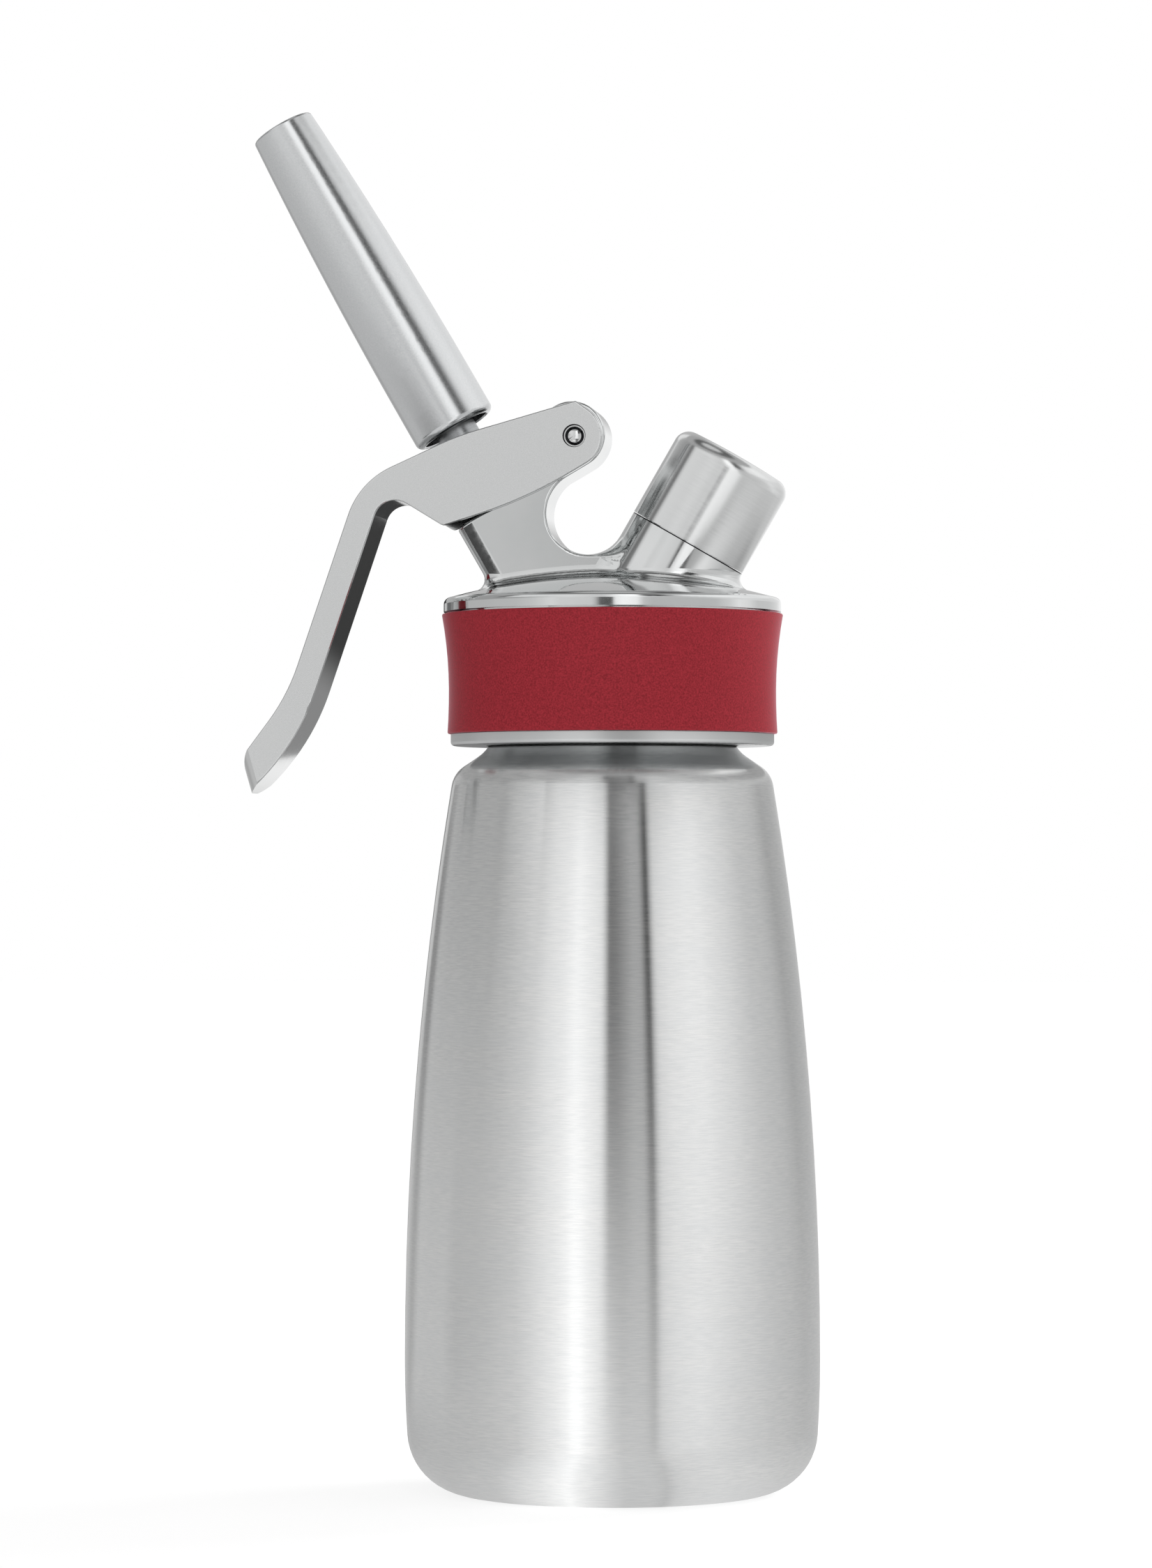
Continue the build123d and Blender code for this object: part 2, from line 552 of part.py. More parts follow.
def decorating_nozzle():
    """Steel nozzle, parallel at its open skirt and drawn in by a long arc to its tip."""
    tip = NOZZLE_FOOT + NOZZLE_LENGTH
    tip_rise = tip - NOZZLE_TAPER_START
    side_drop = NOZZLE_SIDE_ARC_RADIUS - sqrt(NOZZLE_SIDE_ARC_RADIUS**2 - tip_rise**2)
    tip_corner = (NOZZLE_RADIUS - side_drop, tip)
    foot_corner = (NOZZLE_RADIUS, NOZZLE_FOOT)
    skirt_corner = (NOZZLE_SKIRT_BORE, NOZZLE_FOOT)
    outlet_corner = (NOZZLE_OUTLET_RADIUS, tip)
    throat = NOZZLE_SEAL_TOP + 1.8
    outline = (
        Line(foot_corner, (NOZZLE_RADIUS, NOZZLE_TAPER_START))
        + RadiusArc((NOZZLE_RADIUS, NOZZLE_TAPER_START), tip_corner, -NOZZLE_SIDE_ARC_RADIUS)
        + Polyline(
            tip_corner,
            outlet_corner,
            (NOZZLE_OUTLET_RADIUS, tip - NOZZLE_OUTLET_LENGTH),
            (NOZZLE_THREAD_BORE, throat + 2.0),
            (STEM_BORE_RADIUS + 0.3, throat),
            (STEM_BORE_RADIUS + 0.3, NOZZLE_SEAL_TOP),
            (NOZZLE_THREAD_BORE, NOZZLE_SEAL_TOP),
            (NOZZLE_THREAD_BORE, STEM_THREAD_FOOT + 0.5),
            (NOZZLE_SKIRT_BORE, STEM_THREAD_FOOT - 1.0),
            skirt_corner,
            foot_corner,
        )
    )
    half = make_face(Plane.XZ * outline)
    for corner, edge in (
        (foot_corner, NOZZLE_FOOT_EDGE),
        (skirt_corner, 0.3),
        (tip_corner, 0.6),
        (outlet_corner, 0.4),
    ):
        half = rounded(half, corner, edge)
    first_turn = NOZZLE_THREAD_FOOT + 0.5 * NOZZLE_PITCH
    ridge = thread_ridge(NOZZLE_THREAD_BORE, NOZZLE_RIDGE, NOZZLE_PITCH, first_turn, 5.0, inward=True)
    return STEM_AXIS * (revolve(half, Axis.Z) + ridge)


def nozzle_seal():
    """Small washer between the stem's end and the nozzle's inner shoulder."""
    inner = STEM_BORE_RADIUS + 0.2
    outer = NOZZLE_THREAD_BORE - NOZZLE_RIDGE - 0.15
    return STEM_AXIS * ring(inner, outer, STEM_END + 0.1, NOZZLE_SEAL_TOP - 0.1, 0.2)


def inlet_valve_body():
    """Screwed-in insert with the gas passage: collar above, slim nose below for the check sleeve."""
    return INLET_AXIS * turned(
        [
            (0.9, INLET_BORE_FLOOR + 0.1, 0),
            (2.2, INLET_BORE_FLOOR + 0.1, 0.2),
            (2.2, INLET_BORE_FLOOR + 4.0, 0),
            (INLET_BORE_RADIUS - RUNNING_GAP, INLET_BORE_FLOOR + 4.0, 0),
            (INLET_BORE_RADIUS - RUNNING_GAP, SOCKET_FLOOR, 0.2),
            (1.6, SOCKET_FLOOR, 0),
            (1.6, SOCKET_FLOOR - 4.0, 0),
            (0.9, SOCKET_FLOOR - 4.0, 0),
        ]
    )


def check_sleeve():
    """Rubber sleeve round the insert's nose that lets gas in and not back."""
    return INLET_AXIS * ring(2.25, 3.6, INLET_BORE_FLOOR + 0.3, INLET_BORE_FLOOR + 3.8, 0.2)


def piercing_pin():
    """Hollow steel point that opens the charger's neck."""
    return INLET_AXIS * turned(
        [
            (0.45, SOCKET_FLOOR - 3.9, 0),
            (1.55, SOCKET_FLOOR - 3.9, 0),
            (1.55, SOCKET_FLOOR + 2.2, 0),
            (0.7, SOCKET_FLOOR + 5.5, 0),
            (0.45, SOCKET_FLOOR + 5.5, 0),
        ]
    )


def charger_seal():
    """Rubber ring on the socket's floor that seals the charger's neck."""
    outer = SOCKET_RADIUS - RUNNING_GAP
    return INLET_AXIS * ring(1.65, outer, SOCKET_FLOOR + 0.05, SOCKET_FLOOR + 1.9, 0.3)


def protective_cap():
    """Turned steel cap with a rounded top, screwed over the inlet spigot."""
    crown = CAP_DOME_RADIUS - sqrt(CAP_DOME_RADIUS**2 - CAP_RADIUS**2)
    top_edge = (CAP_RADIUS, CAP_TOP - crown)
    outline = Polyline(
        (0, CAP_TOP),
        (0, CAP_CEILING),
        (CAP_CAVITY_RADIUS, CAP_CEILING),
        (CAP_CAVITY_RADIUS, CAP_FOOT),
        (CAP_RADIUS, CAP_FOOT),
        top_edge,
    ) + RadiusArc(top_edge, (0, CAP_TOP), -CAP_DOME_RADIUS)
    half = rounded(make_face(Plane.XZ * outline), top_edge, CAP_EDGE)
    ridge = thread_ridge(
        CAP_CAVITY_RADIUS, CAP_RIDGE, CAP_PITCH, CAP_THREAD_FOOT + 0.5 * CAP_PITCH, 4.0, inward=True
    )
    return INLET_AXIS * (revolve(half, Axis.Z) + ridge)


def cap_seal():
    """Soft liner disc under the cap's ceiling."""
    return INLET_AXIS * rod(CAP_SEAL_RADIUS, SPIGOT_TOP + 0.2, CAP_CEILING - 0.1)


PARTS = {
    "bottle": bottle(),
    "head_body": head_body(),
    "grip_sleeve": grip_sleeve(),
    "head_gasket": head_gasket(),
    "lever": lever(),
    "pivot_pin": pivot_pin(),
    "valve_stem": valve_stem(),
    "stem_seat_seal": stem_seat_seal(),
    "stem_o_ring": stem_o_ring(),
    "gland_bush": gland_bush(),
    "return_spring": return_spring(),
    "press_nut": stem_nut(PRESS_NUT_TOP),
    "lock_nut": stem_nut(PRESS_NUT_TOP - NUT_HEIGHT - 0.05),
    "decorating_nozzle": decorating_nozzle(),
    "nozzle_seal": nozzle_seal(),
    "inlet_valve_body": inlet_valve_body(),
    "check_sleeve": check_sleeve(),
    "piercing_pin": piercing_pin(),
    "charger_seal": charger_seal(),
    "protective_cap": protective_cap(),
    "cap_seal": cap_seal(),
}

os.makedirs("parts", exist_ok=True)
for node, solid in PARTS.items():
    export_step(solid, f"parts/{node}.step")
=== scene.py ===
from math import cos, pi, radians, sin

import bmesh
import bpy
from mathutils import Matrix, Vector


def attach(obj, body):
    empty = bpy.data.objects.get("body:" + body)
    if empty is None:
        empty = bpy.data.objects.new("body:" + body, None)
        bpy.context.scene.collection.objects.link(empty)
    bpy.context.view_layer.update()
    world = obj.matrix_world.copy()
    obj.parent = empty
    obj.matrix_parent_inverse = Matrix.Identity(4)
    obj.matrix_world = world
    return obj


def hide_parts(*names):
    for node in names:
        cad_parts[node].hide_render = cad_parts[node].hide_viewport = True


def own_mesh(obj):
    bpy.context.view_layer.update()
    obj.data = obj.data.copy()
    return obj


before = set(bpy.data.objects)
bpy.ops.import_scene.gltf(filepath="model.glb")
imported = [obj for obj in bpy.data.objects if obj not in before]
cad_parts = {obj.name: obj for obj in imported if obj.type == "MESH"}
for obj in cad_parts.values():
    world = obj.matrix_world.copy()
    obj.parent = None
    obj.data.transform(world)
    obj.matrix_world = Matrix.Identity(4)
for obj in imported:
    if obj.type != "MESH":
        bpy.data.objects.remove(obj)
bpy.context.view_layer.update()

# ---------------------------------------------------------------------------------------------
# Camera: a long lens 1.25 m away and 130 mm above the table, standing a little towards the gas
# inlet's side, and aimed a touch to the left and up, at the middle of the whole object.
# ---------------------------------------------------------------------------------------------
turn = 0.1
away = 1.25
eye_height = 0.13
aim_left, aim_up = 0.00615, 0.01535
ahead = Vector((-sin(turn), cos(turn), 0))
rightwards = Vector((cos(turn), sin(turn), 0))
aim = ahead - aim_left * rightwards + Vector((0, 0, aim_up))
lens_data = bpy.data.cameras.new("studio_camera")
lens_data.lens = 136.06
lens_data.sensor_width = 36.0
lens_data.clip_start = 0.05
camera = bpy.data.objects.new("studio_camera", lens_data)
camera.location = Vector((0, 0, eye_height)) - away * ahead
camera.rotation_euler = aim.to_track_quat("-Z", "Y").to_euler()
bpy.context.collection.objects.link(camera)
bpy.context.scene.camera = camera
bpy.context.scene.view_settings.view_transform = "Standard"


# ---------------------------------------------------------------------------------------------
# Studio: plain white paper to the camera. Polished steel shows only what it mirrors, so the
# metal sees a room instead: walls of lighter and darker paper, soft boxes hung above them, black
# flags beside the camera and a dark ceiling with a skylight, all of it in neutral grey.
# ---------------------------------------------------------------------------------------------
def linear(hex_colour):
    """An sRGB hex colour as the linear RGBA that the shaders take."""
    channels = [int(hex_colour[i : i + 2], 16) / 255 for i in (1, 3, 5)]
    return tuple(c / 12.92 if c <= 0.04045 else ((c + 0.055) / 1.055) ** 2.4 for c in channels) + (1.0,)


def add(tree, kind, sockets=None, **settings):
    """Adds a node with its settings; each socket gets a value or the output that feeds it."""
    new = tree.nodes.new(kind)
    for name, value in settings.items():
        setattr(new, name, value)
    for socket, value in (sockets or {}).items():
        if isinstance(value, bpy.types.NodeSocket):
            tree.links.new(value, new.inputs[socket])
        else:
            new.inputs[socket].default_value = value
    return new


def walls_round(tree, place, panels):
    """Light levels laid out by bearing, in degrees from +X against the clock."""
    parts = add(tree, "ShaderNodeSeparateXYZ", {0: place})
    bearing = add(tree, "ShaderNodeMath", {0: parts.outputs["Y"], 1: parts.outputs["X"]}, operation="ARCTAN2")
    share = add(tree, "ShaderNodeMapRange", {0: bearing.outputs[0], 1: -pi, 2: pi})
    ramp = add(tree, "ShaderNodeValToRGB", {0: share.outputs[0]})
    ramp.color_ramp.elements.remove(ramp.color_ramp.elements[1])
    for index, (degrees, level) in enumerate(panels):
        at = (degrees + 180) / 360
        stop = ramp.color_ramp.elements.new(at) if index else ramp.color_ramp.elements[0]
        stop.position = at
        stop.color = (level, level, level, 1.0)
    return ramp.outputs["Color"]


def blended(tree, amount, low, high, start, end):
    """Passes from low to high as amount goes from start to end."""
    share = add(tree, "ShaderNodeMapRange", {0: amount, 1: start, 2: end}, interpolation_type="SMOOTHSTEP")
    return add(tree, "ShaderNodeMix", {0: share.outputs[0], 2: low, 3: high}).outputs[0]


def stand(name, shape, surface):
    """Puts a finished bmesh in the scene as an object of one material."""
    mesh = bpy.data.meshes.new(name)
    shape.to_mesh(mesh)
    shape.free()
    mesh.materials.append(surface)
    made = bpy.data.objects.new(name, mesh)
    bpy.context.collection.objects.link(made)
    return made


def lit_paper(name):
    """An empty material for paper that metal mirrors; its glow is never searched for as a lamp."""
    made = bpy.data.materials.new(name)
    made.use_nodes = True
    made.cycles.emission_sampling = "NONE"
    made.node_tree.nodes.clear()
    return made, made.node_tree


# the room's walls, as (bearing, light level), from the floor up
far_paper = [
    (-180, 0.66), (-153, 0.72), (-120, 0.84), (-92, 0.80), (-84, 1.20), (-68, 1.15), (-63, 0.90),
    (-57, 0.70), (-27, 0.70), (3, 0.80), (18, 0.95), (50, 0.77), (75, 0.90), (84, 1.00), (92, 1.00),
    (100, 0.60), (130, 0.45), (141, 0.62), (180, 0.66),
]
horizon = [
    (-180, 0.60), (-153, 0.66), (-141, 0.74), (-126, 0.90), (-120, 0.82), (-98, 0.80), (-95, 0.55),
    (-92.5, 0.16), (-86, 0.11), (-84.5, 0.25), (-82.5, 1.12), (-77, 1.28), (-68, 1.15), (-63, 0.70),
    (-57, 0.62), (-10, 0.67), (3, 0.84), (12, 1.03), (22, 0.95), (33, 0.75), (51, 0.75), (66, 0.85),
    (77, 1.00), (96, 1.00), (106, 0.60), (118, 0.60), (122, 0.17), (130, 0.17), (137, 0.55), (180, 0.60),
]
eye_level = [
    (-180, 0.42), (-153, 0.48), (-141, 0.62), (-126, 0.84), (-115, 0.90), (-100, 0.82), (-90, 0.80),
    (-84, 1.10), (-75, 1.30), (-67, 1.20), (-60, 0.70), (-45, 0.65), (20, 0.95), (50, 0.85),
    (74, 0.90), (84, 1.00), (91, 0.55), (105, 0.50), (125, 0.50), (140, 0.40), (180, 0.42),
]
upper_boxes = [
    (-180, 0.42), (-172, 0.20), (-168, 0.30), (-164, 0.70), (-158, 0.92), (-118, 0.93), (-100, 0.85),
    (-92, 0.78), (-86, 0.95), (-79, 1.40), (-68, 1.45), (-64, 0.80), (-61, 0.12), (-49, 0.08),
    (-35, 0.80), (-26, 1.05), (0, 1.15), (22, 1.10), (40, 1.00), (78, 1.00), (88, 0.55), (105, 0.55),
    (115, 1.00), (129, 0.92), (136, 0.55), (158, 0.42), (180, 0.42),
]
eaves, dark_ceiling, skylight = 0.48, 0.15, 0.75
world = bpy.data.worlds.new("studio")
bpy.context.scene.world = world
world.use_nodes = True
room = world.node_tree
room.nodes.clear()
towards = add(room, "ShaderNodeTexCoord").outputs["Generated"]
rise = add(room, "ShaderNodeSeparateXYZ", {0: towards}).outputs["Z"]
seen = walls_round(room, towards, far_paper)
# each band starts where the sine of the angle above the floor passes between its two values
for walls, start, end in ((horizon, 0.0, 0.02), (eye_level, 0.07, 0.10), (upper_boxes, 0.31, 0.38)):
    seen = blended(room, rise, seen, walls_round(room, towards, walls), start, end)
for level, start, end in ((eaves, 0.68, 0.74), (dark_ceiling, 0.85, 0.91), (skylight, 0.955, 0.985)):
    seen = blended(room, rise, seen, level, start, end)
paper_white = add(room, "ShaderNodeBackground", {"Color": (1, 1, 1, 1), "Strength": 1.0})
soft_boxes = add(room, "ShaderNodeBackground", {"Color": seen, "Strength": 1.0})
to_camera = add(room, "ShaderNodeLightPath").outputs["Is Camera Ray"]
seen_and_mirrored = {0: to_camera, 1: soft_boxes.outputs[0], 2: paper_white.outputs[0]}
backdrop = add(room, "ShaderNodeMixShader", seen_and_mirrored)
add(room, "ShaderNodeOutputWorld", {"Surface": backdrop.outputs[0]})

# the floor: matt paper that glows just enough to be white and still keeps a faint shadow; to the
# metal its tones run on from the tent's foot close by and from the far walls beyond
near_paper = [
    (-180, 0.56), (-150, 0.58), (-126, 0.66), (-108, 0.98), (-99, 1.22), (-95, 1.06), (-85, 0.78),
    (-80, 0.68), (-70, 0.67), (-66, 0.62), (-62, 0.75), (-56, 0.80), (-46, 0.82), (-7, 0.66),
    (75, 0.50), (150, 0.50), (180, 0.56),
]
paper_glow, paper_size = 0.705, 6.0
paper, tree = lit_paper("white_paper_sweep")
spot = add(tree, "ShaderNodeTexCoord").outputs["Object"]
reach = add(tree, "ShaderNodeVectorMath", {0: spot}, operation="LENGTH").outputs["Value"]
# a black strip lies on the paper 0.42 m to the left, towards the camera; the head's post mirrors it
strip_place, strip_turn = (0.42, 0, 0), (0, 0, radians(12.4))
turned_spot = add(tree, "ShaderNodeMapping", {0: spot, "Location": strip_place, "Rotation": strip_turn})
strip = add(tree, "ShaderNodeSeparateXYZ", {0: turned_spot.outputs[0]}).outputs
from_strip = add(tree, "ShaderNodeMath", {0: strip["X"]}, operation="ABSOLUTE").outputs[0]
open_paper = walls_round(tree, spot, far_paper)
on_strip = blended(tree, from_strip, 0.08, open_paper, 0.06, 0.10)
laid = blended(tree, strip["Y"], on_strip, open_paper, -0.12, -0.02)
paper_level = blended(tree, reach, walls_round(tree, spot, near_paper), laid, 0.11, 0.24)
mirrored = add(tree, "ShaderNodeEmission", {"Color": paper_level, "Strength": 1.0})
matt = add(tree, "ShaderNodeBsdfDiffuse", {"Color": (0.5, 0.5, 0.5, 1)})
glow = add(tree, "ShaderNodeEmission", {"Color": (1, 1, 1, 1), "Strength": paper_glow})
lit = add(tree, "ShaderNodeAddShader", {0: matt.outputs[0], 1: glow.outputs[0]})
to_camera = add(tree, "ShaderNodeLightPath").outputs["Is Camera Ray"]
surface = add(tree, "ShaderNodeMixShader", {0: to_camera, 1: mirrored.outputs[0], 2: lit.outputs[0]})
add(tree, "ShaderNodeOutputMaterial", {"Surface": surface.outputs[0]})
sweep = bmesh.new()
bmesh.ops.create_grid(sweep, x_segments=1, y_segments=1, size=paper_size)
floor = stand("studio_floor", sweep, paper)

# the tent: a translucent screen 100 mm from the bottle's axis, up to the head, with two dark
# flags hung in front of it; a second piece behind darkens the inner face of the lever's handle,
# and a grey collar round the sleeve keeps the soft boxes off the bottle's shoulder
tent_foot = [
    (-126, 0.73), (-117, 0.86), (-108, 1.03), (-104, 1.15), (-101, 1.32), (-98.5, 1.30), (-95, 1.12),
    (-85, 0.80), (-80, 0.68), (-70, 0.67), (-66, 0.58), (-63, 0.78), (-56, 0.87), (-46, 0.91),
    (-25, 0.76), (0, 0.63), (25, 0.55), (58, 0.55), (75, 0.75), (98, 0.33), (130, 0.33),
]
tent_side = [
    (-126, 0.70), (-117, 0.88), (-108, 1.00), (-102, 1.14), (-89.5, 0.93), (-87.6, 0.60), (-86.2, 0.17),
    (-82, 0.22), (-74, 0.44), (-70, 0.44), (-68.4, 0.25), (-67, 0.03), (-65.6, 0.03), (-64.3, 0.60),
    (-62, 0.82), (-56, 0.92), (-46, 0.99), (-38, 0.98), (-7, 0.64), (10, 0.57), (25, 0.43),
    (58, 0.52), (75, 0.75), (98, 0.28), (130, 0.28),
]
tent_rim = [
    (-126, 0.52), (-117, 0.78), (-98, 0.70), (-90, 0.55), (-86, 0.15), (-66, 0.15), (-62, 0.50),
    (-40, 0.74), (-7, 0.72), (25, 0.74), (75, 0.60), (98, 0.05), (130, 0.05),
]
collar = [
    (-180, 0.38), (-140, 0.38), (-115, 0.44), (-102, 0.60), (-96, 0.64), (-91, 0.50), (-88, 0.16),
    (-77, 0.26), (-74, 0.16), (-71, 0.50), (-62, 0.66), (-35, 0.42), (0, 0.38), (180, 0.38),
]
tent_radius, collar_radius = 0.1, 0.055
tent_cloth, tree = lit_paper("translucent_tent_cloth")
spot = add(tree, "ShaderNodeTexCoord").outputs["Object"]
height = add(tree, "ShaderNodeSeparateXYZ", {0: spot}).outputs["Z"]
low_level = walls_round(tree, spot, tent_foot)
side_level = blended(tree, height, low_level, walls_round(tree, spot, tent_side), -0.01, 0.13)
tent_level = blended(tree, height, side_level, walls_round(tree, spot, tent_rim), 0.162, 0.174)
level_spot = add(tree, "ShaderNodeVectorMath", {0: spot, 1: (1, 1, 0)}, operation="MULTIPLY").outputs[0]
reach = add(tree, "ShaderNodeVectorMath", {0: level_spot}, operation="LENGTH").outputs["Value"]
collar_or_tent = blended(tree, reach, walls_round(tree, spot, collar), tent_level, 0.06, 0.08)
tone = add(tree, "ShaderNodeEmission", {"Color": collar_or_tent, "Strength": 1.0})
add(tree, "ShaderNodeOutputMaterial", {"Surface": tone.outputs[0]})
cloth = bmesh.new()
# each piece of cloth: its first bearing, how far round it goes, its radius, its hem and its rim
for first_bearing, reach_round, radius, hem, rim in (
    (-126, 201, tent_radius, 0.001, 0.184),
    (98, 32, tent_radius, 0.001, 0.203),
    (0, 360, collar_radius, 0.160, 0.176),
):
    bearing = radians(first_bearing)
    foot = cloth.verts.new((radius * cos(bearing), radius * sin(bearing), hem))
    top = cloth.verts.new((foot.co.x, foot.co.y, rim))
    seam = cloth.edges.new((foot, top))
    bmesh.ops.spin(
        cloth, geom=[foot, top, seam], cent=(0, 0, 0), axis=(0, 0, 1),
        angle=radians(reach_round), steps=40,
    )
tent = stand("studio_tent", cloth, tent_cloth)
tent.visible_camera = False
tent.visible_diffuse = False
tent.visible_shadow = False

# a small soft lamp stands behind on the right and lights the edge of the matt pieces; it is
# turned to the sleeve, and no metal mirrors it
sleeve_middle = Vector((0, 0, 0.17))
lamp_data = bpy.data.lights.new("edge_lamp", "AREA")
lamp_data.energy = 1.6
lamp_data.size = 0.25
edge_lamp = bpy.data.objects.new("edge_lamp", lamp_data)
edge_lamp.location = (0.46, 0.39, 0.22)
edge_lamp.rotation_euler = (sleeve_middle - edge_lamp.location).to_track_quat("-Z", "Y").to_euler()
edge_lamp.visible_glossy = False
edge_lamp.visible_camera = False
bpy.context.collection.objects.link(edge_lamp)


# ---------------------------------------------------------------------------------------------
# Bottle: deep-drawn and spun stainless steel, brushed while it turned, so fine scratches run
# round it and stretch every reflection up and down into soft upright bands.
# ---------------------------------------------------------------------------------------------
def steel(name, hex_colour, roughness):
    """A metal with its colour and polish, its node tree to add surface detail to, and its shader."""
    made = bpy.data.materials.new(name)
    made.use_nodes = True
    shader = made.node_tree.nodes["Principled BSDF"]
    shader.inputs["Base Color"].default_value = linear(hex_colour)
    shader.inputs["Metallic"].default_value = 1.0
    shader.inputs["Roughness"].default_value = roughness
    return made, made.node_tree, shader


def grain(tree, spacing, detail=2.0, lean=0.0):
    """Noise with spots of the given size in mm along x, y and z, with z leant over by lean degrees."""
    spot = add(tree, "ShaderNodeTexCoord").outputs["Object"]
    upright = add(tree, "ShaderNodeMapping", {0: spot, "Rotation": (0, radians(lean), 0)}).outputs[0]
    spots_per_metre = [1000 / size for size in spacing]
    sized = add(tree, "ShaderNodeMapping", {0: upright, "Scale": spots_per_metre}).outputs[0]
    return add(tree, "ShaderNodeTexNoise", {0: sized, "Scale": 1.0, "Detail": detail}).outputs["Fac"]


def spread(tree, noise, low, high):
    """Noise stretched between two values."""
    return add(tree, "ShaderNodeMapRange", {0: noise, 1: 0.3, 2: 0.7, 3: low, 4: high}).outputs[0]


def between(tree, share, low_colour, high_colour):
    """Passes from one colour to the other as share goes from 0 to 1."""
    return add(tree, "ShaderNodeMix", {0: share, 6: low_colour, 7: high_colour}, data_type="RGBA").outputs[2]


def tinted(tree, noise, low_hex, high_hex):
    """Noise as a passage between two colours."""
    return between(tree, spread(tree, noise, 0.0, 1.0), linear(low_hex), linear(high_hex))


def relief(tree, noise, depth, strength):
    """Noise as a height in mm."""
    bump = add(tree, "ShaderNodeBump", {"Height": noise, "Distance": depth / 1000, "Strength": strength})
    return bump.outputs[0]


def dress(node_name, made):
    """Gives a part of the frame its finish."""
    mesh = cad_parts[node_name].data
    mesh.materials.clear()
    mesh.materials.append(made)


brushed, tree, shader = steel("circumferentially_brushed_stainless", "#E8E8E7", 0.18)
shader.inputs["Anisotropic"].default_value = 1.0
shader.inputs["Anisotropic Rotation"].default_value = 0.25
around = add(tree, "ShaderNodeTangent", direction_type="RADIAL", axis="Z")
tree.links.new(around.outputs[0], shader.inputs["Tangent"])
# real scratches are some 0.05 mm apart; these are 0.25 mm apart so that they show
scratches = grain(tree, (3, 3, 0.25))
wear = grain(tree, (30, 30, 5))
tree.links.new(spread(tree, scratches, 0.17, 0.195), shader.inputs["Roughness"])
brush_tint = tinted(tree, scratches, "#E1E2E2", "#EEEEED")
worn = between(tree, spread(tree, wear, 0.0, 0.35), brush_tint, linear("#E2E4E5"))
tree.links.new(worn, shader.inputs["Base Color"])
tree.links.new(relief(tree, scratches, 0.01, 0.03), shader.inputs["Normal"])
dress("bottle", brushed)

# ---------------------------------------------------------------------------------------------
# Head: one stainless casting with its skirt, flange, post and gas stub, ground and buffed to a
# mirror by hand, so its flat faces are very slightly wavy and carry a faint haze. The foot rim
# below the band is left satin, and its underside as machined and duller. Its downward faces are
# also painted a darker grey, as painted shade under the head.
# ---------------------------------------------------------------------------------------------
underside, rim_top = 0.158, 0.1596
machined_roughness, satin_roughness = 0.22, 0.45
stub_axis, stub_rim, stub_side = (0.5, 0, 0.8660254), 0.18109, 0.004
hairline = 0.00013
mirror, tree, shader = steel("mirror_polished_casting", "#D9DADA", 0.06)
surface_at = add(tree, "ShaderNodeTexCoord").outputs
place = add(tree, "ShaderNodeSeparateXYZ", {0: surface_at["Object"]}).outputs
upward = add(tree, "ShaderNodeSeparateXYZ", {0: surface_at["Normal"]}).outputs["Z"]
not_facing_down = blended(tree, upward, 0.0, 1.0, -0.9, -0.75)
outside_underside_shade = blended(tree, place["Z"], not_facing_down, 1.0, underside, underside + 0.002)
above_rim = blended(tree, place["Z"], 0.0, 1.0, rim_top, rim_top + 0.0003)
foot_polish = {0: not_facing_down, 2: machined_roughness, 3: satin_roughness}
machined_or_satin = add(tree, "ShaderNodeMix", foot_polish).outputs[0]
buffed = spread(tree, grain(tree, (1.2, 1.2, 1.2)), 0.04, 0.09)
polish = add(tree, "ShaderNodeMix", {0: above_rim, 2: machined_or_satin, 3: buffed}).outputs[0]
tree.links.new(polish, shader.inputs["Roughness"])
haze = tinted(tree, grain(tree, (9, 9, 9), 4.0), "#D6D8D8", "#DBDCDC")
# the downward faces below the underside height take a darker grey: painted shade under the head
haze_with_painted_underside_shade = between(tree, outside_underside_shade, linear("#B2B4B5"), haze)
# painted shade: a dark hairline painted on the stub where the cap meets it, standing in for the shadow in the
# narrow gap
along_stub = {0: surface_at["Object"], 1: stub_axis}
up_stub = add(tree, "ShaderNodeVectorMath", along_stub, operation="DOT_PRODUCT").outputs["Value"]
at_rim = add(tree, "ShaderNodeMath", {0: up_stub, 1: stub_rim, 2: hairline}, operation="COMPARE").outputs[0]
on_stub = add(tree, "ShaderNodeMath", {0: place["X"], 1: stub_side}, operation="GREATER_THAN").outputs[0]
painted_shade = add(tree, "ShaderNodeMath", {0: at_rim, 1: on_stub}, operation="MULTIPLY").outputs[0]
tree.links.new(between(tree, painted_shade, haze_with_painted_underside_shade, linear("#242526")), shader.inputs["Base Color"])
tree.links.new(relief(tree, grain(tree, (14, 14, 14), 1.0), 0.02, 0.25), shader.inputs["Normal"])
dress("head_body", mirror)

# ---------------------------------------------------------------------------------------------
# Cap: turned from stainless bar and polished on the lathe. The fine turning marks run round it,
# so every reflection is drawn out along its length and stays sharp across it.
# ---------------------------------------------------------------------------------------------
lathe_polished, tree, shader = steel("lathe_polished_cap_steel", "#DBDCDC", 0.15)
shader.inputs["Anisotropic"].default_value = 0.95
shader.inputs["Anisotropic Rotation"].default_value = 0.25
facing = add(tree, "ShaderNodeNewGeometry").outputs["Normal"]
to_world = {"convert_from": "OBJECT", "convert_to": "WORLD"}
cap_axis = add(tree, "ShaderNodeVectorTransform", {0: stub_axis}, **to_world).outputs[0]
round_cap = add(tree, "ShaderNodeVectorMath", {0: cap_axis, 1: facing}, operation="CROSS_PRODUCT")
tree.links.new(round_cap.outputs["Vector"], shader.inputs["Tangent"])
